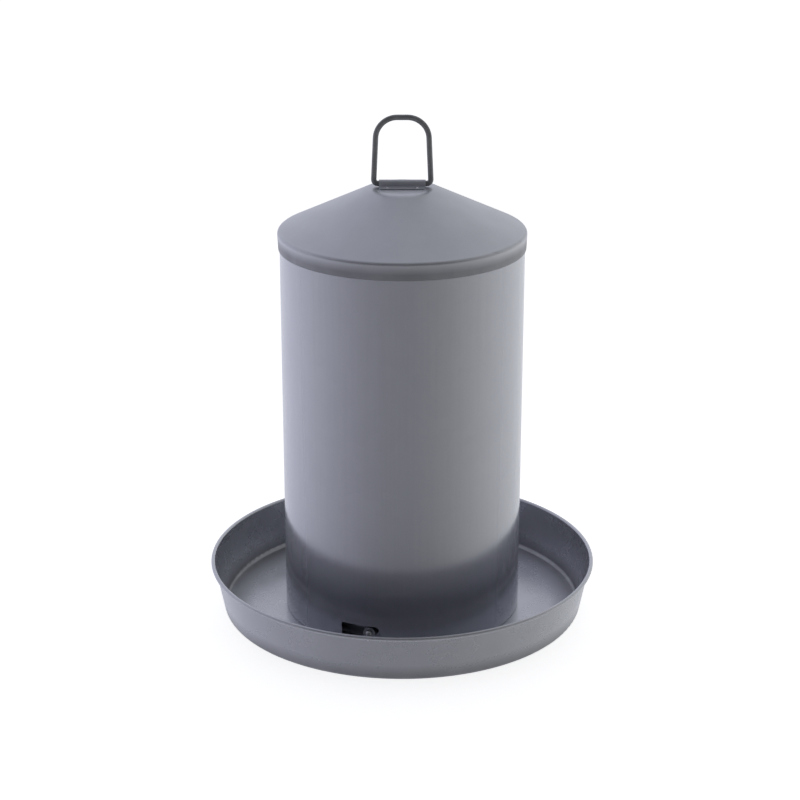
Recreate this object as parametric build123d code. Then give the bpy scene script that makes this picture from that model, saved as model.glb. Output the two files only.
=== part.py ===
from build123d import *
import os
from math import cos, radians, sin, sqrt, tan

# Poultry waterer fount: a double-wall vacuum drinker in galvanised sheet steel.
# A round trough pan carries an open-topped water tank.  A cover with a conical
# top drops over the tank and locks on two studs with L-shaped bayonet slots.
# Turning the cover pushes a sprung lever that opens the tank's outlet.
#
# Millimetres.  The origin is the centre of the pan's underside, +Z is up and
# -Y is the front.  At rest the bail stands up, the cover is down, and each
# stud is at the foot of its slot, so the cover can be turned or lifted off.

# ---- driving dimensions -------------------------------------------------------
PAN_RIM_RADIUS = 160.0          # outside of the curled rim
PAN_HEIGHT = 41.7
PAN_CORNER_RADIUS = 4.0
PAN_WALL_LEAN = 11.4            # degrees from vertical
PAN_SHEET = 0.7
PAN_WIRE_RADIUS = 0.9
PAN_CURL_END = 140.0            # degrees of curl past its outermost point
CURL_GAP = 0.1                  # between a wire and the sheet curled round it

COVER_RADIUS = 97.7
COVER_SHEET = 0.6
COVER_FOOT_GAP = 0.3            # under the cover's edge
COVER_LEDGE_BEND = 1.0          # where the wall turns in under the rim wire
COVER_LIP_BEND = 0.9            # where it turns up again
COVER_SEAM_ANGLE = 145.0        # from the front, towards -X
CONE_RIM_RADIUS = 99.4          # where the slope would meet the skirt, uncurved
CONE_CORNER_Z = 322.4
CONE_TOP_Z = 357.1
CONE_TOP_RADIUS = 26.4
CONE_SHEET = 0.7
CONE_RIM_BEND = 3.0
CONE_CAP_BEND = 14.0
SKIRT_FOOT_Z = 309.0
SKIRT_FOOT_RADIUS = 98.75
CONE_WIRE_RADIUS = 1.9
CONE_WIRE_GAP = 0.4             # all round the loose wire
CONE_SOLDER = 2.2

TANK_RADIUS = 87.25
TANK_SHEET = 0.6
TANK_TOP_Z = 306.0
TANK_WIRE_RADIUS = 1.10
TANK_CURL_END = 130.0
TANK_FLANGE = 6.5               # height of the bottom disc's turned-up edge
TANK_BOTTOM_BEND = 1.5
TANK_SEAM_ANGLE = 250.0
TANK_SEAM_LOW = 4.2
TANK_SEAM_HIGH = 298.0
FOOT_SOLDER = 3.0
FOOT_SOLDER_HOLLOW = 3.9        # radius of the fillet's hollow face

SEAM_WIDTH = 7.0
SEAM_PROUD = 0.8
WALL_SPAN = 12.0                # length of a cutter through one wall
SHANK_FIT = 0.05                # radial, round a stud, rivet or nozzle

STUD_ANGLE = 16.0               # from the front, towards -X
STUD_Z = 12.5
STUD_FLANGE_RADIUS = 4.5        # the head inside the tank
STUD_FLANGE_THICKNESS = 1.05
STUD_FLANGE_DEPTH = 0.95        # of its seat below the tank's outer face
STUD_SHANK_RADIUS = 2.5
STUD_SHOULDER_RADIUS = 5.0
STUD_SHOULDER_GAP = 0.7         # to the cover's wall
STUD_NECK_RADIUS = 2.0
STUD_HEAD_RADIUS = 2.75
STUD_HEAD_HEIGHT = 1.7
STUD_HEAD_GAP = 0.7             # to the cover's wall
WASHER_RADIUS = 5.6
WASHER_THICKNESS = 1.0
SLOT_LOW_Z = 8.0
SLOT_HIGH_Z = 19.3
SLOT_RIGHT_ANGLE = 10.5
SLOT_LEFT_ANGLE = 30.0
LEG_LEFT_ANGLE = 18.0
SLOT_END_RADIUS = 2.0
SLOT_END_ANGLE = 1.2            # taken up by the end radius
SLOT_TURN_RADIUS = 5.0
SLOT_TURN_ANGLE = 3.0           # taken up by the turn's radius

OUTLET_Z = 20.0
OUTLET_BORE_RADIUS = 4.0
OUTLET_WALL = 0.8
OUTLET_FLANGE_RADIUS = 6.5      # inside the tank
OUTLET_FLANGE_THICKNESS = 1.0
OUTLET_FLANGE_DEPTH = 1.2       # of its seat below the tank's outer face
SEAT_RADIUS = 6.0
SEAT_Y = 88.65                  # the face that the rubber pad closes
PAD_RADIUS = 5.6
PAD_GAP = 0.3                   # to the seat, so that the pad isn't pressed
PAD_HOLE_RADIUS = 1.05
PAD_RIVET_RADIUS = 1.0
PAD_RIVET_SETBACK = 0.5         # behind the pad's face
PAD_RIVET_HEAD_RADIUS = 2.2
PAD_RIVET_HEAD_HEIGHT = 0.8

LEVER_PIVOT_Y = 91.6
LEVER_PIVOT_Z = 46.0
LEVER_SHEET = 0.9
LEVER_WIDTH = 12.0
LEVER_FOOT_Z = 14.0
LEVER_JOG = 2.5                 # the tail stands this much further out
LEVER_JOG_LOW_Z = 51.0
LEVER_JOG_HIGH_Z = 63.0
LEVER_JOG_BEND = 6.0
LEVER_TAIL_Z = 68.0
LEVER_TIP = (-0.5, 70.0)        # the curled tip: outward from the arm, and Z
LEVER_TIP_BEND = 1.5
LEVER_TAIL_WIDTH = 7.0
LEVER_TAIL_LENGTH = 18.0
KNUCKLE_RADIUS = 2.45
PIVOT_PIN_RADIUS = 1.25
PIVOT_FIT = 0.05                # radial running clearance
PIN_HEAD_RADIUS = 2.1
PIN_HEAD_THICKNESS = 0.8
CAM_Z = 66.0
CAM_DEPTH = 3.9                 # of the dimple pressed into the cover
CAM_HALF_WIDTH = 8.0
COVER_TURN = 12.5               # degrees from free to locked

BRACKET_HEIGHT = 17.0
BRACKET_SHEET = 0.8
EAR_X = 7.0                     # inner face of a bracket ear
EAR_ROOT = 0.3                  # of an ear sunk in the plate
EAR_TIP_RADIUS = 3.2
BRACKET_RIVET_RADIUS = 1.4
BRACKET_RIVET_RISE = 6.0        # above and below the pivot
BRACKET_RIVET_HEAD_RADIUS = 2.4
BRACKET_RIVET_HEAD_HEIGHT = 0.8
BRACKET_RIVET_TAIL_RADIUS = 2.6
BRACKET_RIVET_TAIL_HEIGHT = 1.1
BRACKET_RIVET_TAIL_GAP = 0.2    # lets the flat tail clear the round wall
SPRING_WIRE_RADIUS = 0.35
SPRING_COIL_RADIUS = 1.9
SPRING_PITCH = 0.9
SPRING_TURNS = 4.0
SPRING_UPPER_LEG = 5.0
SPRING_LOWER_LEG = 5.0
SPRING_HOOK_REACH = 3.9         # holds the hook clear of the rocking arm
SPRING_HOOK_DROP = 3.0
SPRING_HOOK_BEND = 0.8
SPRING_ROOM_RADIUS = 6.0
SPRING_ROOM_WIDTH = 5.6

BAIL_WIRE_RADIUS = 2.2
BAIL_AXIS_Z = 359.9
BAIL_HALF_FOOT = 22.6           # half the spacing of the legs at the bar
BAIL_HALF_TOP = 20.2            # half the spacing that the legs lean in to
BAIL_TOP_Z = 412.6
BAIL_FOOT_BEND = 3.2
BAIL_TOP_BEND = 17.0
BAIL_CUT = 0.4                  # between the wire's two ends, under the strap
STRAP_HALF_LENGTH = 18.4
STRAP_SHEET = 0.8
STRAP_FIT = 0.06                # radial running clearance round the bar
STRAP_FOOT = 9.5                # from the bar's axis to the end of a foot
STRAP_BEND = 1.2
STRAP_CORNER_RADIUS = 2.5
STRAP_RIVET_X = 12.0
STRAP_RIVET_Y = 6.8
STRAP_RIVET_RADIUS = 1.0
STRAP_RIVET_HEAD_RADIUS = 1.7
STRAP_RIVET_HEAD_HEIGHT = 0.7

FULL_TURN = 360.0
BASE = (Align.CENTER, Align.CENTER, Align.MIN)


# ---- helpers ------------------------------------------------------------------
def parallel(route, distance):
    """The lines and arcs at a distance on the left of a smooth route."""
    pieces, walked = [], 0.0
    for edge in route.order_edges():
        points = []
        for along in (walked, walked + edge.length / 2, walked + edge.length):
            left = Vector(0, 0, 1).cross(route.tangent_at(along, PositionMode.LENGTH))
            points.append(route.position_at(along, PositionMode.LENGTH) + left * distance)
        round_edge = edge.geom_type == GeomType.CIRCLE
        pieces.append(ThreePointArc(*points) if round_edge else Line(points[0], points[2]))
        walked += edge.length
    return pieces


def sheet_section(*lines, thickness):
    """The cut face of a bent sheet; the lines are its face on the right."""
    route = Wire(lines)
    far = parallel(route, thickness)
    ends = [Line(route @ 0, far[0] @ 0), Line(route @ 1, far[-1] @ 1)]
    return make_face([*route.edges(), *far, *ends])


def turned(*lines, sheet=None):
    """A ring turned about Z: a sheet's section, or the face that the lines close."""
    face = sheet_section(*lines, thickness=sheet) if sheet else make_face(lines)
    return revolve(Plane.XZ * face, Axis.Z, FULL_TURN)


def ring(inner, outer, low, high):
    """A plain ring about Z."""
    tall = high - low
    return Pos(0, 0, low) * (Cylinder(outer, tall, align=BASE) - Cylinder(inner, tall, align=BASE))


def radial(angle, distance=0.0, height=0.0):
    """A frame whose Z points outward at an angle from the front, towards -X."""
    outward = Vector(-sin(radians(angle)), -cos(radians(angle)), 0)
    return Plane(outward * distance + Vector(0, 0, height), x_dir=(0, 0, 1), z_dir=outward)


def stack(place, *steps):
    """Round steps of (radius, start, end) along a frame's Z, joined in one."""
    rounds = [Pos(0, 0, start) * Cylinder(radius, end - start, align=BASE) for radius, start, end in steps]
    return place * (Part() + rounds)


def dome(radius, height):
    """A round head: the cap of a sphere, flat side at Z = 0."""
    ball = (radius**2 + height**2) / (2 * height)
    return Pos(0, 0, height - ball) * Sphere(ball) & Cylinder(radius, height, align=BASE)


def wall_hole(radius, angle, height, wall_radius=TANK_RADIUS):
    """A round cutter through a wall and what is fixed close to it."""
    place = radial(angle, wall_radius, height)
    return stack(place, (radius, -WALL_SPAN / 2, WALL_SPAN / 2))


def seam_ridge(radius, angle, low, high):
    """The proud fold of a lock seam, outside a sheet of the given radius."""
    place = radial(angle, radius, (low + high) / 2)
    bar = place * Box(high - low, SEAM_WIDTH, 4 * SEAM_PROUD)
    return bar & ring(radius - SEAM_PROUD / 2, radius + SEAM_PROUD, low, high)


def curled_rim(center, inner_radius, lean, curl_end):
    """The arc of a curled rim, outward and down, seen on the sheet's inner face."""
    return CenterArc(center, inner_radius, 180 - lean, -(180 - lean + curl_end))


def save(**nodes):
    """Write each named node to parts/NAME.step."""
    for name, shape in nodes.items():
        shape.label = name
        export_step(shape, f"parts/{name}.step")


# ---- trough pan ---------------------------------------------------------------
def pan_bead_center():
    reach = PAN_WIRE_RADIUS + CURL_GAP + PAN_SHEET
    return (PAN_RIM_RADIUS - reach, PAN_HEIGHT - reach)


def trough_pan():
    """Flat floor, a wall that leans out, and a rim curled round its wire."""
    curl = curled_rim(pan_bead_center(), PAN_WIRE_RADIUS + CURL_GAP, PAN_WALL_LEAN, PAN_CURL_END)
    top = curl @ 0
    foot = top.X - top.Y * tan(radians(PAN_WALL_LEAN))
    wall = FilletPolyline((0, 0), (foot, 0), top, radius=PAN_CORNER_RADIUS)
    return turned(*wall.edges(), curl, sheet=PAN_SHEET)


def pan_rim_wire():
    radius, height = pan_bead_center()
    return Pos(0, 0, height) * Torus(radius, PAN_WIRE_RADIUS)


# ---- tank ---------------------------------------------------------------------
def tank_bead_center():
    reach = TANK_WIRE_RADIUS + CURL_GAP + TANK_SHEET
    return (TANK_RADIUS - TANK_SHEET + reach, TANK_TOP_Z - reach)


def tank_wall():
    """The open cylinder with its curled rim, lock seam and fitting holes."""
    curl = curled_rim(tank_bead_center(), TANK_WIRE_RADIUS + CURL_GAP, 0, TANK_CURL_END)
    wall = turned(Line((TANK_RADIUS, PAN_SHEET), curl @ 0), curl, sheet=TANK_SHEET)
    seam = seam_ridge(TANK_RADIUS, TANK_SEAM_ANGLE, TANK_SEAM_LOW, TANK_SEAM_HIGH)
    studs = [wall_hole(STUD_SHANK_RADIUS + SHANK_FIT, angle, STUD_Z) for angle in stud_angles()]
    outlet = wall_hole(OUTLET_BORE_RADIUS + OUTLET_WALL + SHANK_FIT, 180, OUTLET_Z)
    rivets = [wall_hole(BRACKET_RIVET_RADIUS + SHANK_FIT, 180, z) for z in bracket_rivet_heights()]
    return wall + seam - studs - outlet - rivets


def tank_bottom():
    edge = TANK_RADIUS - TANK_SHEET
    corners = [(0, PAN_SHEET), (edge, PAN_SHEET), (edge, PAN_SHEET + TANK_FLANGE)]
    return turned(*FilletPolyline(*corners, radius=TANK_BOTTOM_BEND).edges(), sheet=TANK_SHEET)


def tank_foot_solder():
    corner = (TANK_RADIUS, PAN_SHEET)
    out = (TANK_RADIUS + FOOT_SOLDER, PAN_SHEET)
    up = (TANK_RADIUS, PAN_SHEET + FOOT_SOLDER)
    return turned(Line(corner, out), RadiusArc(out, up, FOOT_SOLDER_HOLLOW), Line(up, corner))


def tank_rim_wire():
    radius, height = tank_bead_center()
    return Pos(0, 0, height) * Torus(radius, TANK_WIRE_RADIUS)


# ---- bayonet studs ------------------------------------------------------------
def stud_angles():
    return [STUD_ANGLE, STUD_ANGLE + 180]


def lock_stud(angle):
    """Flange in the tank, shank, shoulder that clamps the washer, neck and head."""
    place = radial(angle, height=STUD_Z)
    flange = TANK_RADIUS - STUD_FLANGE_DEPTH
    shoulder = TANK_RADIUS + WASHER_THICKNESS
    neck = COVER_RADIUS - COVER_SHEET - STUD_SHOULDER_GAP
    head = COVER_RADIUS + STUD_HEAD_GAP
    body = stack(
        place,
        (STUD_FLANGE_RADIUS, flange - STUD_FLANGE_THICKNESS, flange),
        (STUD_SHANK_RADIUS, flange, shoulder),
        (STUD_SHOULDER_RADIUS, shoulder, neck),
        (STUD_NECK_RADIUS, neck, head),
    )
    return body + place * Pos(0, 0, head) * dome(STUD_HEAD_RADIUS, STUD_HEAD_HEIGHT)


def stud_washer(angle):
    place = radial(angle, height=STUD_Z)
    disc = stack(place, (WASHER_RADIUS, TANK_RADIUS, TANK_RADIUS + WASHER_THICKNESS))
    return disc - wall_hole(STUD_SHANK_RADIUS + SHANK_FIT, angle, STUD_Z)


# ---- outlet and its valve -----------------------------------------------------
def bracket_rivet_heights():
    return [LEVER_PIVOT_Z - BRACKET_RIVET_RISE, LEVER_PIVOT_Z + BRACKET_RIVET_RISE]


def pivot_frame(x=0.0):
    """A frame on the pivot's axis, whose Z points along +X and Y points up."""
    return Plane(origin=(x, LEVER_PIVOT_Y, LEVER_PIVOT_Z), x_dir=(0, 1, 0), z_dir=(1, 0, 0))


def outlet_nozzle():
    barrel = OUTLET_BORE_RADIUS + OUTLET_WALL
    flange = TANK_RADIUS - OUTLET_FLANGE_DEPTH
    body = stack(
        radial(180, height=OUTLET_Z),
        (OUTLET_FLANGE_RADIUS, flange - OUTLET_FLANGE_THICKNESS, flange),
        (barrel, flange, TANK_RADIUS),
        (SEAT_RADIUS, TANK_RADIUS, SEAT_Y),
    )
    return body - wall_hole(OUTLET_BORE_RADIUS, 180, OUTLET_Z)


def valve_bracket():
    """A plate that follows the tank's wall, with two ears that hold the pivot pin."""
    half, rise = EAR_X + BRACKET_SHEET, BRACKET_HEIGHT / 2
    space = Pos(0, TANK_RADIUS, LEVER_PIVOT_Z) * Box(2 * half, 2 * WALL_SPAN, BRACKET_HEIGHT)
    shell = ring(TANK_RADIUS, TANK_RADIUS + BRACKET_SHEET, LEVER_PIVOT_Z - rise, LEVER_PIVOT_Z + rise)
    root = TANK_RADIUS - EAR_ROOT - LEVER_PIVOT_Y
    corners = [(root, -rise), (0, -EAR_TIP_RADIUS), (0, EAR_TIP_RADIUS), (root, rise)]
    ear = make_face(Polyline(*corners, close=True)) + Circle(EAR_TIP_RADIUS)
    ears = [pivot_frame(x) * extrude(ear, BRACKET_SHEET) for x in (-half, EAR_X)]
    tank = Pos(0, 0, LEVER_PIVOT_Z) * Cylinder(TANK_RADIUS, 2 * BRACKET_HEIGHT)
    bore = stack(pivot_frame(), (PIVOT_PIN_RADIUS, -2 * half, 2 * half))
    rivets = [wall_hole(BRACKET_RIVET_RADIUS, 180, z) for z in bracket_rivet_heights()]
    return (shell & space) + ears - tank - bore - rivets


def bracket_rivet(height):
    place = radial(180, height=height)
    outside = TANK_RADIUS + BRACKET_SHEET
    inside = TANK_RADIUS - TANK_SHEET - BRACKET_RIVET_TAIL_GAP
    body = stack(
        place,
        (BRACKET_RIVET_TAIL_RADIUS, inside - BRACKET_RIVET_TAIL_HEIGHT, inside),
        (BRACKET_RIVET_RADIUS, inside, outside),
    )
    head = dome(BRACKET_RIVET_HEAD_RADIUS, BRACKET_RIVET_HEAD_HEIGHT)
    return body + place * Pos(0, 0, outside) * head


def valve_pivot_pin():
    end = EAR_X + BRACKET_SHEET
    return stack(
        pivot_frame(),
        (PIVOT_PIN_RADIUS, -end, end),
        (PIN_HEAD_RADIUS, -end - PIN_HEAD_THICKNESS, -end),
        (PIN_HEAD_RADIUS, end, end + PIN_HEAD_THICKNESS),
    )


def lever_line():
    """The strip's outer face from the side, from its foot to the curled tip."""
    arm = LEVER_PIVOT_Y + LEVER_SHEET / 2
    tip_out, tip_z = LEVER_TIP
    return FilletPolyline(
        (arm, LEVER_FOOT_Z),
        (arm, LEVER_JOG_LOW_Z),
        (arm + LEVER_JOG, LEVER_JOG_HIGH_Z),
        (arm + LEVER_JOG, LEVER_TAIL_Z),
        (arm + tip_out, tip_z),
        radius=(LEVER_JOG_BEND, LEVER_JOG_BEND, LEVER_TIP_BEND),
    )


def valve_lever():
    """A strip rocking on the pivot pin: pad arm below, tail above, knuckle between."""
    side = sheet_section(*lever_line().edges(), thickness=LEVER_SHEET)
    strip = extrude(Plane.YZ * side, LEVER_WIDTH / 2, both=True)
    tail = Pos(0, LEVER_PIVOT_Y, CAM_Z)
    beside = Box(LEVER_WIDTH, 2 * WALL_SPAN, LEVER_TAIL_LENGTH)
    kept = Box(LEVER_TAIL_WIDTH, 2 * WALL_SPAN, LEVER_TAIL_LENGTH)
    half, room = LEVER_WIDTH / 2, SPRING_ROOM_WIDTH / 2
    knuckle = stack(pivot_frame(), (KNUCKLE_RADIUS, -half, half))
    bore = stack(pivot_frame(), (PIVOT_PIN_RADIUS + PIVOT_FIT, -2 * half, 2 * half))
    spring_room = stack(pivot_frame(), (SPRING_ROOM_RADIUS, -room, room))
    hole = wall_hole(PAD_HOLE_RADIUS, 180, OUTLET_Z)
    return strip - tail * (beside - kept) + knuckle - bore - spring_room - hole


def valve_pad():
    back = LEVER_PIVOT_Y - LEVER_SHEET / 2
    disc = stack(radial(180, height=OUTLET_Z), (PAD_RADIUS, SEAT_Y + PAD_GAP, back))
    return disc - wall_hole(PAD_HOLE_RADIUS, 180, OUTLET_Z)


def pad_rivet():
    place = radial(180, height=OUTLET_Z)
    back = LEVER_PIVOT_Y + LEVER_SHEET / 2
    shank = stack(place, (PAD_RIVET_RADIUS, SEAT_Y + PAD_GAP + PAD_RIVET_SETBACK, back))
    return shank + place * Pos(0, 0, back) * dome(PAD_RIVET_HEAD_RADIUS, PAD_RIVET_HEAD_HEIGHT)


def valve_spring():
    """A torsion spring: one leg up the bracket, one hooked round behind the lever's arm."""
    length = SPRING_PITCH * SPRING_TURNS
    corner = (-length / 2, LEVER_PIVOT_Y, LEVER_PIVOT_Z)
    start = Plane(origin=corner, x_dir=(0, -1, 0), z_dir=(1, 0, 0))
    helix = start * Helix(SPRING_PITCH, length, SPRING_COIL_RADIUS)
    wire = Circle(SPRING_WIRE_RADIUS)
    coils = sweep(Plane(helix @ 0, z_dir=helix % 0) * wire, path=helix, is_frenet=True)
    leg = Cylinder(SPRING_WIRE_RADIUS, SPRING_UPPER_LEG, align=BASE)
    upper = Plane(helix @ 0, z_dir=-(helix % 0)) * leg
    end, down = helix @ 1, helix % 1
    elbow = end + down * SPRING_LOWER_LEG
    hook = elbow + Vector(0, SPRING_HOOK_REACH, 0)
    tip = hook + down * SPRING_HOOK_DROP
    route = FilletPolyline(end, elbow, hook, tip, radius=SPRING_HOOK_BEND)
    return coils + upper + sweep(Plane(end, z_dir=down) * wire, path=route)


# ---- cover --------------------------------------------------------------------
def wedge(right_angle, left_angle, low, high):
    """The space between two angles from the front, through the cover's wall."""
    reach = 2 * COVER_RADIUS
    corners = [(-reach * sin(radians(a)), -reach * cos(radians(a))) for a in (right_angle, left_angle)]
    sector = make_face(Polyline((0, 0), *corners, close=True))
    wall = ring(COVER_RADIUS - WALL_SPAN / 2, COVER_RADIUS + WALL_SPAN / 2, low, high)
    return Pos(0, 0, low) * extrude(sector, high - low) & wall


def bayonet_slot(turn):
    """The L-shaped opening: a foot that drops over the stud, then a run to the left."""
    low, high = SLOT_LOW_Z, SLOT_HIGH_Z
    turn_angle = SLOT_RIGHT_ANGLE + SLOT_TURN_ANGLE
    end_angle = SLOT_LEFT_ANGLE - SLOT_END_ANGLE
    foot = wedge(SLOT_RIGHT_ANGLE, LEG_LEFT_ANGLE, 0, high - SLOT_TURN_RADIUS)
    run = wedge(turn_angle, end_angle, low, high)
    end = wedge(end_angle, SLOT_LEFT_ANGLE, low + SLOT_END_RADIUS, high - SLOT_END_RADIUS)
    corners = [
        (SLOT_TURN_RADIUS, turn_angle, high - SLOT_TURN_RADIUS),
        (SLOT_END_RADIUS, end_angle, high - SLOT_END_RADIUS),
        (SLOT_END_RADIUS, end_angle, low + SLOT_END_RADIUS),
    ]
    rounds = [wall_hole(*corner, wall_radius=COVER_RADIUS) for corner in corners]
    return Rot(0, 0, turn) * (foot + run + end + rounds)


def cam_dimple(inset):
    """The ball that shapes the dimple behind the lever's tail, less an inset."""
    ball = (CAM_HALF_WIDTH**2 + CAM_DEPTH**2) / (2 * CAM_DEPTH)
    center = COVER_RADIUS - COVER_SHEET - CAM_DEPTH + ball
    return radial(180 + COVER_TURN, center, CAM_Z) * Sphere(ball - inset)


def cover_shell():
    """The outer cylinder; its top is turned in and up to hold the rim wire."""
    foot = PAN_SHEET + COVER_FOOT_GAP
    lip_radius = cover_lip_radius()
    ledge = cone_wire_center().Y - CONE_WIRE_RADIUS - CONE_WIRE_GAP
    line = FilletPolyline(
        (COVER_RADIUS, foot),
        (COVER_RADIUS, ledge),
        (lip_radius, ledge),
        (lip_radius, cone_underside(lip_radius)),
        radius=(COVER_LEDGE_BEND, COVER_LIP_BEND),
    )
    shell = turned(*line.edges(), sheet=COVER_SHEET)
    seam = seam_ridge(COVER_RADIUS, COVER_SEAM_ANGLE, 3 * foot, SKIRT_FOOT_Z - foot)
    span = 2 * CAM_HALF_WIDTH
    pressed = cam_dimple(0) & ring(COVER_RADIUS - span, COVER_RADIUS, CAM_Z - span, CAM_Z + span)
    shell = shell + seam + pressed - cam_dimple(COVER_SHEET)
    return shell - [bayonet_slot(0), bayonet_slot(180)]


def cone_slope():
    return (CONE_TOP_Z - CONE_CORNER_Z) / (CONE_RIM_RADIUS - CONE_TOP_RADIUS)


def cone_underside(radius):
    """Height of the cone's inner face at a radius on the slope."""
    drop = CONE_SHEET * sqrt(1 + cone_slope() ** 2)
    return CONE_CORNER_Z + (CONE_RIM_RADIUS - radius) * cone_slope() - drop


def cone_line():
    """The cone's outer face: skirt, rounded rim, slope and flat cap."""
    return FilletPolyline(
        (SKIRT_FOOT_RADIUS, SKIRT_FOOT_Z),
        (CONE_RIM_RADIUS, CONE_CORNER_Z),
        (CONE_TOP_RADIUS, CONE_TOP_Z),
        (0, CONE_TOP_Z),
        radius=(CONE_RIM_BEND, CONE_CAP_BEND),
    )


def cone_wire_center():
    """The centre of the rounded rim, where the wire lies."""
    bends = cone_line().edges().filter_by(GeomType.CIRCLE)
    return bends.sort_by(Axis.Y)[0].arc_center


def cover_lip_radius():
    """The outer face of the cover's turned-up lip, just inside the wire."""
    return cone_wire_center().X - CONE_WIRE_RADIUS - CONE_WIRE_GAP


def cover_cone():
    """The conical top with its flat cap and its rounded rim and skirt."""
    return turned(*cone_line().edges(), sheet=CONE_SHEET) - strap_rivet_holes()


def cone_rim_wire():
    center = cone_wire_center()
    return Pos(0, 0, center.Y) * Torus(center.X, CONE_WIRE_RADIUS)


def cone_seam_solder():
    """The airtight fillet between the cone's underside and the shell's lip."""
    lip = cover_lip_radius() - COVER_SHEET
    corner = (lip, cone_underside(lip))
    inner = (lip - CONE_SOLDER, cone_underside(lip - CONE_SOLDER))
    foot = (lip, cone_underside(lip) - CONE_SOLDER)
    return turned(Line(corner, inner), Line(inner, foot), Line(foot, corner))


# ---- bail and its strap -------------------------------------------------------
def strap_rivet_places():
    return [(x, y) for x in (-STRAP_RIVET_X, STRAP_RIVET_X) for y in (-STRAP_RIVET_Y, STRAP_RIVET_Y)]


def strap_rivet_holes():
    hole = Pos(0, 0, CONE_TOP_Z) * Cylinder(STRAP_RIVET_RADIUS, WALL_SPAN)
    return [Pos(x, y) * hole for x, y in strap_rivet_places()]


def bail_strap():
    """A saddle over the bail's bar, with one foot in front and one behind."""
    bore = BAIL_WIRE_RADIUS + STRAP_FIT
    over = bore + STRAP_SHEET
    cap = CONE_TOP_Z - BAIL_AXIS_Z
    foot_top = cap + STRAP_SHEET
    arch = Circle(over) + Pos(0, cap / 2) * Rectangle(2 * over, -cap)
    feet = Pos(0, foot_top - STRAP_SHEET / 2) * Rectangle(2 * STRAP_FOOT, STRAP_SHEET)
    tunnel = Pos(0, -WALL_SPAN / 2) * Rectangle(2 * bore, WALL_SPAN)
    cone = Pos(0, cap - WALL_SPAN / 2) * Rectangle(4 * STRAP_FOOT, WALL_SPAN)
    side = arch + feet - Circle(bore) - tunnel - cone
    level = side.vertices().filter_by_position(Axis.Y, foot_top - CURL_GAP, foot_top + CURL_GAP)
    bends = level.filter_by_position(Axis.X, -STRAP_FOOT / 2, STRAP_FOOT / 2)
    side = fillet(bends, STRAP_BEND)
    place = Plane(origin=(-STRAP_HALF_LENGTH, 0, BAIL_AXIS_Z), x_dir=(0, 1, 0), z_dir=(1, 0, 0))
    strap = place * extrude(side, 2 * STRAP_HALF_LENGTH)
    corners = strap.edges().filter_by(Axis.Z).group_by(lambda e: abs(e.center().Y))[-1]
    return fillet(corners, STRAP_CORNER_RADIUS) - strap_rivet_holes()


def strap_rivet(x, y):
    under, top = CONE_TOP_Z - CONE_SHEET, CONE_TOP_Z + STRAP_SHEET
    shank = Pos(x, y, under) * Cylinder(STRAP_RIVET_RADIUS, top - under, align=BASE)
    head = dome(STRAP_RIVET_HEAD_RADIUS, STRAP_RIVET_HEAD_HEIGHT)
    return shank + Pos(x, y, top) * head + Pos(x, y, under) * Rot(180, 0, 0) * head


def bail():
    """A closed loop of wire; its two ends butt under the strap."""
    half_cut, top = BAIL_CUT / 2, BAIL_TOP_Z - BAIL_AXIS_Z
    route = FilletPolyline(
        (half_cut, 0),
        (BAIL_HALF_FOOT, 0),
        (BAIL_HALF_TOP, top),
        (-BAIL_HALF_TOP, top),
        (-BAIL_HALF_FOOT, 0),
        (-half_cut, 0),
        radius=(BAIL_FOOT_BEND, BAIL_TOP_BEND, BAIL_TOP_BEND, BAIL_FOOT_BEND),
    )
    path = Pos(0, 0, BAIL_AXIS_Z) * (Plane.XZ * Wire(route.edges()))
    start = Plane(origin=path @ 0, z_dir=path % 0)
    return sweep(start * Circle(BAIL_WIRE_RADIUS), path=path)


# ---- the parts ----------------------------------------------------------------
os.makedirs("parts", exist_ok=True)
save(
    trough_pan=trough_pan(),
    pan_rim_wire=pan_rim_wire(),
    tank_wall=tank_wall(),
    tank_bottom=tank_bottom(),
    tank_foot_solder=tank_foot_solder(),
    tank_rim_wire=tank_rim_wire(),
    lock_studs=Compound(children=[lock_stud(angle) for angle in stud_angles()]),
    stud_washers=Compound(children=[stud_washer(angle) for angle in stud_angles()]),
    outlet_nozzle=outlet_nozzle(),
    valve_bracket=valve_bracket(),
    bracket_rivets=Compound(children=[bracket_rivet(z) for z in bracket_rivet_heights()]),
    valve_pivot_pin=valve_pivot_pin(),
    valve_spring=valve_spring(),
    valve_lever=valve_lever(),
    valve_pad=valve_pad(),
    pad_rivet=pad_rivet(),
    cone_rim_wire=cone_rim_wire(),
    cover_shell=cover_shell(),
    cover_cone=cover_cone(),
    cone_seam_solder=cone_seam_solder(),
    bail_strap=bail_strap(),
    strap_rivets=Compound(children=[strap_rivet(x, y) for x, y in strap_rivet_places()]),
    bail=bail(),
)
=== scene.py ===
"""A galvanised double-wall poultry waterer on a pale studio floor.

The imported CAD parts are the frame.  This script gives them their finishes, and
sets the floor, the room's light and the camera.  Metres, +Z up, -Y the front.
"""
from math import radians

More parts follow.
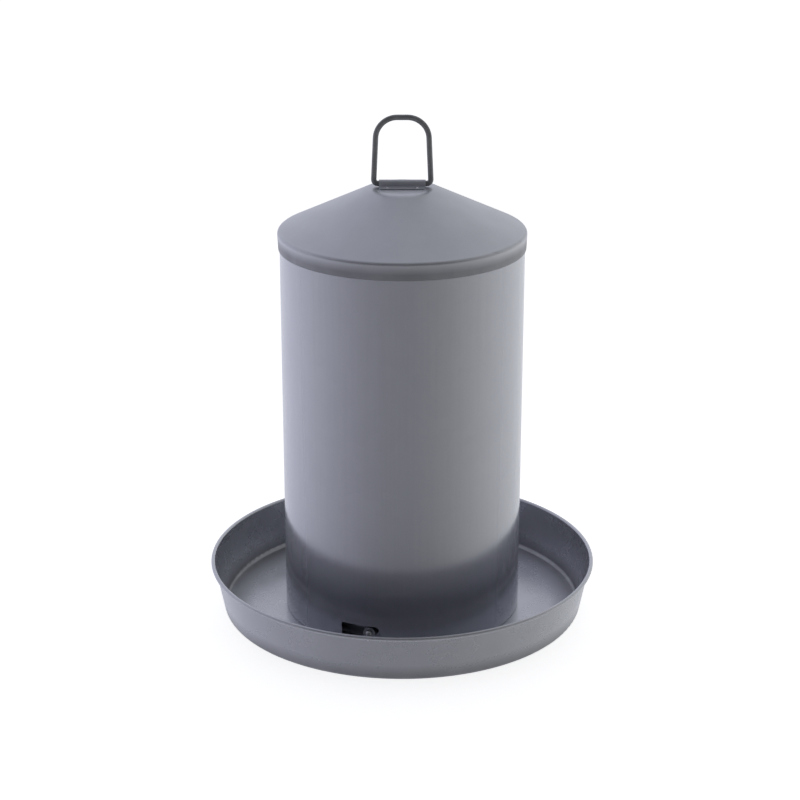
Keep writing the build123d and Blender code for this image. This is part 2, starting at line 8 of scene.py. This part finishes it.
import bpy
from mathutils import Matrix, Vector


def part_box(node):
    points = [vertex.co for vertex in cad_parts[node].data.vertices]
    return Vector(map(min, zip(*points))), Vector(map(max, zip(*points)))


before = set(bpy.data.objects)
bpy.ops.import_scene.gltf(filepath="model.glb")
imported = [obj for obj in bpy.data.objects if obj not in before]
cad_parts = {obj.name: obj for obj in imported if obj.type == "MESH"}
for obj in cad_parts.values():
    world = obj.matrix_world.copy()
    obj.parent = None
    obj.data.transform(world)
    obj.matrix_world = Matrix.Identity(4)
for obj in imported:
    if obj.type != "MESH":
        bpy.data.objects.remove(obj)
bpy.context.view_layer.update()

# ---- colours, as linear values --------------------------------------------------
ZINC = (0.600, 0.609, 0.664)
ZINC_LIGHT = (0.660, 0.668, 0.718)
ZINC_DARK = (0.520, 0.528, 0.582)
# Painted shade colour: darkens surfaces where shadow falls.
PAINTED_SHADE = (0.150, 0.150, 0.158)
WIRE_GREY = (0.250, 0.253, 0.262)
WIRE_LIGHT = (0.350, 0.353, 0.362)
FITTING_GREY = (0.520, 0.525, 0.540)
FITTING_LIGHT = (0.620, 0.625, 0.640)
SOLDER_GREY = (0.430, 0.430, 0.440)
SOLDER_LIGHT = (0.540, 0.540, 0.550)
SPRING_GREY = (0.300, 0.300, 0.310)
SPRING_LIGHT = (0.400, 0.400, 0.410)
BRASS_YELLOW = (0.550, 0.400, 0.160)
BRASS_LIGHT = (0.650, 0.490, 0.210)
RUBBER_BLACK = (0.012, 0.012, 0.013)
RUBBER_GREY = (0.030, 0.030, 0.032)
FLOOR_WHITE = (0.800, 0.800, 0.800)
FLOOR_SHADE = (0.770, 0.770, 0.775)
WHITE = (1.0, 1.0, 1.0)

# ---- galvanised sheet -----------------------------------------------------------
# How fine each pattern is, in cycles per metre; three numbers stretch it along X, Y, Z.
CRYSTAL_SCALE = 90.0
CLOUD_SCALE = 8.0
SMUDGE_SCALE = 24.0
GRIT_SCALE = 420.0
SCUFF_SCALE = (34.0, 34.0, 210.0)
GRAIN_UP = (420.0, 420.0, 9.0)
GRAIN_EVEN = (60.0, 60.0, 60.0)
WAVES_UP = (13.0, 13.0, 1.2)
WAVES_EVEN = (16.0, 16.0, 16.0)

# Which part of a pattern's range counts, lowest and highest.
WHOLE = (0.0, 1.0)
MIDDLE = (0.3, 0.7)
GRAIN_SPAN = (0.4, 0.75)
SMUDGE_SPAN = (0.3, 0.75)
PATCH_SPAN = (0.3, 0.6)
SCUFF_SPAN = (0.66, 0.74)

# How strongly each pattern shows in the colour, at its lowest and highest.
CLOUD_MIX = (0.15, 0.85)
WAVE_MIX = (0.70, 0.85)
CRYSTAL_MIX = (0.0, 0.22)
GRAIN_MIX = (0.0, 0.22)
SCUFF_MIX = 0.10

# Roughness: a finish's lowest and highest, and what the patterns add to it.
SATIN = (0.14, 0.22)
PAN_SATIN = (0.22, 0.32)
DULL_SATIN = (0.34, 0.44)
CRYSTAL_ROUGH = (-0.01, 0.01)
SCUFF_ROUGH = 0.03
RUBBED_ROUGH = 0.05
# Extra roughness where the painted shade lies.
PAINTED_SHADE_ROUGH = 0.12

SHEET_METALLIC = 0.72
FINE_HEIGHT = 0.4
WAVE_HEIGHT = 6.0
SHEET_BUMP = {"Distance": 0.00004, "Strength": 0.16}

# Rims that hands and stacking rub: a height band, and how it fades at each end.
PAN_LOW, PAN_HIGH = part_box("trough_pan")
CONE_FOOT_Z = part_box("cover_cone")[0].z
PAN_RIM = (PAN_HIGH.z - 0.002, PAN_HIGH.z)
CONE_RIM = (CONE_FOOT_Z + 0.0094, CONE_FOOT_Z + 0.0134)
FADE_OUTSIDE = 0.002
FADE_INSIDE = 0.001
RUBBED_PATCHES = (0.3, 1.0)
RUBBED_MIX = 0.6

# Painted shade: its thickest and last height, radii where it begins and is full, and its depth.
# Painted shade at the foot of the pan, outside and in the corner of its floor: its contact shadow and
# the shade inside the trough.
PAN_PAINTED_SHADE = (0.0, 0.014, 0.124, 0.142, 0.70)
# Painted shade just below the cone's rim: a dark band standing in for the rim's shadow on the cover.
SKIRT_PAINTED_SHADE = (0.3135, 0.3205, 0.095, 0.097, 0.6)
PAINTED_SHADE_PATCHES = (0.75, 1.0)

# ---- wires, fittings and rubber -------------------------------------------------
SPECKLE_SCALE = 160.0
SOLDER_SCALE = 240.0
RUBBER_SCALE = 700.0
METAL_GRIT_SCALE = 900.0
WORN_SCALE_RATIO = 0.3
SPECKLE_SPAN = (0.35, 0.7)
SPECKLE_MIX = (0.0, 0.8)
WORN_SPAN = (0.55, 0.7)
WORN_MIX = (0.0, 0.5)
SPECKLE_SMOOTHER = 0.05
SPECKLE_ROUGHER = 0.08
PLATED_METALLIC = 0.85
WIRE_METALLIC = 0.6
STRAP_METALLIC = 0.4
RUBBER_ROUGH = (0.55, 0.75)
METAL_BUMP = {"Distance": 0.00006, "Strength": 0.3}
RUBBER_BUMP = {"Distance": 0.0001, "Strength": 0.3}

# ---- floor, room and camera -----------------------------------------------------
FLOOR_SIZE = 14.0
FLOOR_CENTRE_Y = 2.0
FLOOR_DROP = 0.0002
FLOOR_PANELS = 8
FLOOR_GLOW = 0.80
PAPER_SCALE = 3.0
PAPER_ROUGH = (0.75, 0.85)

# The room's glow from front to back, above and below the horizon.
SKY_SPAN = (-0.7, 1.0)
SKY_GLOW = (0.05, 0.76)
GROUND_SPAN = (-1.0, 1.0)
GROUND_GLOW = (0.15, 0.84)
STEEP_SPAN = (-0.65, -0.36)
STEEP_SHADE = (0.64, 1.0)
HORIZON_SPAN = (-0.22, 0.05)
SIDE_SPAN = (-0.7, 0.7)
LEFT_TINT = (0.95, 0.965, 1.12)
RIGHT_TINT = (0.97, 0.99, 0.99)

CAMERA_PLACE = (-0.0018, -1.5688, 0.7484)
CAMERA_PITCH = 70.03
CAMERA_LENS = 91.8
CAMERA_SENSOR = 36.0


# ---- node helpers ---------------------------------------------------------------
class Graph:
    """Short calls for building one node tree."""

    def __init__(self, tree):
        self.tree = tree
        self.tree.nodes.clear()

    def fill(self, socket, value):
        """Link a socket to another, or set it to a plain value."""
        if isinstance(value, bpy.types.NodeSocket):
            self.tree.links.new(value, socket)
        else:
            socket.default_value = value

    def node(self, kind, settings=None, **inputs):
        made = self.tree.nodes.new(kind)
        for key, value in (settings or {}).items():
            setattr(made, key, value)
        for key, value in inputs.items():
            self.fill(made.inputs[key.replace("_", " ")], value)
        return made

    def remap(self, value, span, to=WHOLE):
        """value, carried from one span of numbers to another."""
        made = self.node("ShaderNodeMapRange", Value=value, From_Min=span[0], From_Max=span[1])
        self.fill(made.inputs["To Min"], to[0])
        self.fill(made.inputs["To Max"], to[1])
        return made.outputs["Result"]

    def math(self, operation, first, second):
        made = self.node("ShaderNodeMath", {"operation": operation})
        self.fill(made.inputs[0], first)
        self.fill(made.inputs[1], second)
        return made.outputs["Value"]

    def times(self, first, second):
        return self.math("MULTIPLY", first, second)

    def plus(self, first, second):
        return self.math("ADD", first, second)

    def blend(self, factor, first, second):
        """Two colours mixed; a Mix node keeps its colours in sockets 6 and 7, and gives one in 2."""
        made = self.node("ShaderNodeMix", {"data_type": "RGBA"}, Factor=factor)
        for socket, value in ((made.inputs[6], first), (made.inputs[7], second)):
            self.fill(socket, (*value, 1.0) if isinstance(value, tuple) else value)
        return made.outputs[2]


class Finish(Graph):
    """One material, whose patterns follow the object's own coordinates."""

    def __init__(self, name):
        self.material = bpy.data.materials.new(name)
        self.material.use_nodes = True
        super().__init__(self.material.node_tree)
        self.shader = self.node("ShaderNodeBsdfPrincipled")
        self.node("ShaderNodeOutputMaterial", Surface=self.shader.outputs["BSDF"])
        self.place = self.node("ShaderNodeTexCoord").outputs["Object"]

    def noise(self, scale, detail=3.0, roughness=0.5):
        """Soft noise; a scale of three numbers stretches it along each axis."""
        place = self.place
        if isinstance(scale, tuple):
            place = self.node("ShaderNodeMapping", Vector=place, Scale=scale).outputs["Vector"]
            scale = 1.0
        made = self.node(
            "ShaderNodeTexNoise", Vector=place, Scale=scale, Detail=detail, Roughness=roughness
        )
        return made.outputs["Fac"]

    def cells(self, scale):
        """A random grey for each crystal of the zinc."""
        made = self.node("ShaderNodeTexVoronoi", Vector=self.place, Scale=scale)
        grey = self.node("ShaderNodeSeparateColor", Color=made.outputs["Color"])
        return grey.outputs["Red"]

    def height_and_radius(self):
        """How far a point is up the object's axis, and from it."""
        axes = self.node("ShaderNodeSeparateXYZ", Vector=self.place).outputs
        flat = self.node("ShaderNodeCombineXYZ", X=axes["X"], Y=axes["Y"])
        radius = self.node("ShaderNodeVectorMath", {"operation": "LENGTH"})
        self.fill(radius.inputs[0], flat.outputs["Vector"])
        return axes["Z"], radius.outputs["Value"]

    def bump(self, height, depth):
        made = self.node("ShaderNodeBump", Height=height, **depth)
        self.fill(self.shader.inputs["Normal"], made.outputs["Normal"])

    def finish(self, color, roughness, metallic):
        self.fill(self.shader.inputs["Base Color"], color)
        self.fill(self.shader.inputs["Roughness"], roughness)
        self.fill(self.shader.inputs["Metallic"], metallic)
        return self.material


# ---- finishes -------------------------------------------------------------------
def galvanised(name, grain_scale, wave_scale, satin, rim=None, painted_shade=None):
    """Satin zinc: soft crystals, rolling grain, slow waves and a few scuffs, with an optional band of
    painted shade.
    """
    f = Finish(name)
    crystals = f.cells(CRYSTAL_SCALE)
    grain = f.noise(grain_scale, detail=4.0)
    waves = f.noise(wave_scale, detail=1.0)
    clouds = f.noise(CLOUD_SCALE)
    smudges = f.noise(SMUDGE_SCALE, detail=5.0, roughness=0.65)
    scuffs = f.remap(f.noise(SCUFF_SCALE, detail=5.0, roughness=0.7), SCUFF_SPAN)

    tone = f.blend(f.remap(clouds, MIDDLE, CLOUD_MIX), ZINC_DARK, ZINC_LIGHT)
    tone = f.blend(f.remap(waves, WHOLE, WAVE_MIX), tone, ZINC)
    tone = f.blend(f.remap(crystals, WHOLE, CRYSTAL_MIX), tone, ZINC_LIGHT)
    tone = f.blend(f.remap(grain, GRAIN_SPAN, GRAIN_MIX), tone, ZINC_DARK)
    tone = f.blend(f.times(scuffs, SCUFF_MIX), tone, ZINC_LIGHT)
    rough = f.remap(smudges, SMUDGE_SPAN, satin)
    rough = f.plus(rough, f.remap(crystals, WHOLE, CRYSTAL_ROUGH))
    rough = f.plus(rough, f.times(scuffs, SCUFF_ROUGH))
    if rim:
        low, high = rim
        height = f.height_and_radius()[0]
        rise = f.remap(height, (low - FADE_OUTSIDE, low + FADE_INSIDE))
        fall = f.remap(height, (high - FADE_INSIDE, high + FADE_OUTSIDE), (1.0, 0.0))
        rubbed = f.times(f.times(rise, fall), f.remap(smudges, PATCH_SPAN, RUBBED_PATCHES))
        tone = f.blend(f.times(rubbed, RUBBED_MIX), tone, ZINC_LIGHT)
        rough = f.math("SUBTRACT", rough, f.times(rubbed, RUBBED_ROUGH))
    # Painted shade: darkens the colour in a band of height and radius where shadow falls.
    if painted_shade:
        low, high, begins, full, depth = painted_shade
        height, radius = f.height_and_radius()
        outside = f.remap(radius, (begins, full), (0.0, depth))
        shaded = f.times(outside, f.remap(height, (low, high), (1.0, 0.0)))
        shaded = f.times(shaded, f.remap(smudges, PATCH_SPAN, PAINTED_SHADE_PATCHES))
        tone = f.blend(shaded, tone, PAINTED_SHADE)
        rough = f.plus(rough, f.times(shaded, PAINTED_SHADE_ROUGH))
    grit = f.noise(GRIT_SCALE, detail=2.0)
    fine = f.plus(f.times(grain, FINE_HEIGHT), f.times(grit, FINE_HEIGHT))
    f.bump(f.plus(fine, f.times(waves, WAVE_HEIGHT)), SHEET_BUMP)
    return f.finish(tone, rough, SHEET_METALLIC)


def simple_metal(name, color, light, roughness, metallic=PLATED_METALLIC, scale=SPECKLE_SCALE):
    """Drawn, plated or turned metal with a fine mottle and worn patches."""
    f = Finish(name)
    speckle = f.noise(scale, detail=4.0)
    worn = f.noise(WORN_SCALE_RATIO * scale)
    tone = f.blend(f.remap(speckle, SPECKLE_SPAN, SPECKLE_MIX), color, light)
    tone = f.blend(f.remap(worn, WORN_SPAN, WORN_MIX), tone, light)
    rough = f.remap(speckle, MIDDLE, (roughness - SPECKLE_SMOOTHER, roughness + SPECKLE_ROUGHER))
    f.bump(f.noise(METAL_GRIT_SCALE), METAL_BUMP)
    return f.finish(tone, rough, metallic)


def rubber():
    f = Finish("rubber")
    speckle = f.noise(RUBBER_SCALE)
    tone = f.blend(f.remap(speckle, MIDDLE), RUBBER_BLACK, RUBBER_GREY)
    f.bump(speckle, RUBBER_BUMP)
    return f.finish(tone, f.remap(speckle, MIDDLE, RUBBER_ROUGH), 0.0)


def dress(material, *nodes):
    """Give CAD nodes one finish."""
    for name in nodes:
        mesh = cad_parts[name].data
        mesh.materials.clear()
        mesh.materials.append(material)


# The pan's finish carries painted shade at its foot and in its inner corner.
dress(galvanised("galvanised_pan", GRAIN_EVEN, WAVES_EVEN, PAN_SATIN, PAN_RIM, PAN_PAINTED_SHADE), "trough_pan")
dress(galvanised("galvanised_cover", GRAIN_UP, WAVES_UP, SATIN), "cover_shell")
# The cone's finish carries a painted shadow band under its rim.
dress(
    galvanised("galvanised_cone", GRAIN_EVEN, WAVES_EVEN, DULL_SATIN, CONE_RIM, SKIRT_PAINTED_SHADE),
    "cover_cone",
)
dress(galvanised("galvanised_tank", GRAIN_UP, WAVES_UP, SATIN), "tank_wall", "tank_bottom")
dress(simple_metal("bail_wire", WIRE_GREY, WIRE_LIGHT, 0.34, WIRE_METALLIC), "bail")
dress(simple_metal("bail_strap", ZINC, ZINC_LIGHT, 0.36, STRAP_METALLIC), "bail_strap")
dress(
    simple_metal("steel_wire", ZINC_DARK, ZINC, 0.36),
    "pan_rim_wire", "tank_rim_wire", "cone_rim_wire",
)
dress(
    simple_metal("zinc_fittings", FITTING_GREY, FITTING_LIGHT, 0.28),
    "lock_studs", "valve_bracket", "bracket_rivets", "valve_pivot_pin", "valve_lever",
    "pad_rivet", "strap_rivets",
)
dress(simple_metal("spring_steel", SPRING_GREY, SPRING_LIGHT, 0.25), "valve_spring")
dress(
    simple_metal("solder", SOLDER_GREY, SOLDER_LIGHT, 0.42, scale=SOLDER_SCALE),
    "tank_foot_solder", "cone_seam_solder",
)
dress(simple_metal("brass", BRASS_YELLOW, BRASS_LIGHT, 0.26), "outlet_nozzle")
dress(rubber(), "valve_pad", "stud_washers")


# ---- floor, room and camera -----------------------------------------------------
def floor():
    """White paper that glows faintly, as lit paper does, so that its shadow stays soft."""
    bpy.ops.mesh.primitive_grid_add(
        x_subdivisions=FLOOR_PANELS, y_subdivisions=FLOOR_PANELS, size=FLOOR_SIZE,
        location=(0, FLOOR_CENTRE_Y, PAN_LOW.z - FLOOR_DROP),
    )
    plane = bpy.context.object
    plane.name = "studio_floor"
    f = Finish("studio_floor")
    paper = f.noise(PAPER_SCALE)
    tone = f.blend(f.remap(paper, MIDDLE), FLOOR_WHITE, FLOOR_SHADE)
    f.fill(f.shader.inputs["Emission Color"], (*WHITE, 1.0))
    f.fill(f.shader.inputs["Emission Strength"], FLOOR_GLOW)
    f.fill(f.shader.inputs["Specular IOR Level"], 0.0)
    plane.data.materials.append(f.finish(tone, f.remap(paper, MIDDLE, PAPER_ROUGH), 0.0))
    plane.visible_glossy = False


def surroundings():
    """A soft room, bright behind the object and dark where the camera stands, seen as plain white."""
    world = bpy.data.worlds.new("studio")
    bpy.context.scene.world = world
    world.use_nodes = True
    g = Graph(world.node_tree)
    direction = g.node("ShaderNodeTexCoord").outputs["Generated"]
    side, depth, height = g.node("ShaderNodeSeparateXYZ", Vector=direction).outputs

    below = g.times(g.remap(depth, GROUND_SPAN, GROUND_GLOW), g.remap(height, STEEP_SPAN, STEEP_SHADE))
    above = g.remap(depth, SKY_SPAN, SKY_GLOW)
    level = g.node("ShaderNodeMix", Factor=g.remap(height, HORIZON_SPAN), A=below, B=above)
    tint = g.blend(g.remap(side, SIDE_SPAN), LEFT_TINT, RIGHT_TINT)
    glow = g.node("ShaderNodeBackground", Color=tint, Strength=level.outputs["Result"])

    backdrop = g.node("ShaderNodeBackground", Color=(*WHITE, 1.0))
    is_camera = g.node("ShaderNodeLightPath").outputs["Is Camera Ray"]
    seen = g.node("ShaderNodeMixShader", Fac=is_camera)
    g.fill(seen.inputs[1], glow.outputs["Background"])
    g.fill(seen.inputs[2], backdrop.outputs["Background"])
    g.node("ShaderNodeOutputWorld", Surface=seen.outputs["Shader"])


def camera():
    data = bpy.data.cameras.new("camera")
    data.sensor_width = CAMERA_SENSOR
    data.lens = CAMERA_LENS
    eye = bpy.data.objects.new("camera", data)
    eye.location = CAMERA_PLACE
    eye.rotation_euler = (radians(CAMERA_PITCH), 0.0, 0.0)
    bpy.context.scene.collection.objects.link(eye)
    bpy.context.scene.camera = eye


floor()
surroundings()
camera()
bpy.context.scene.view_settings.view_transform = "Standard"
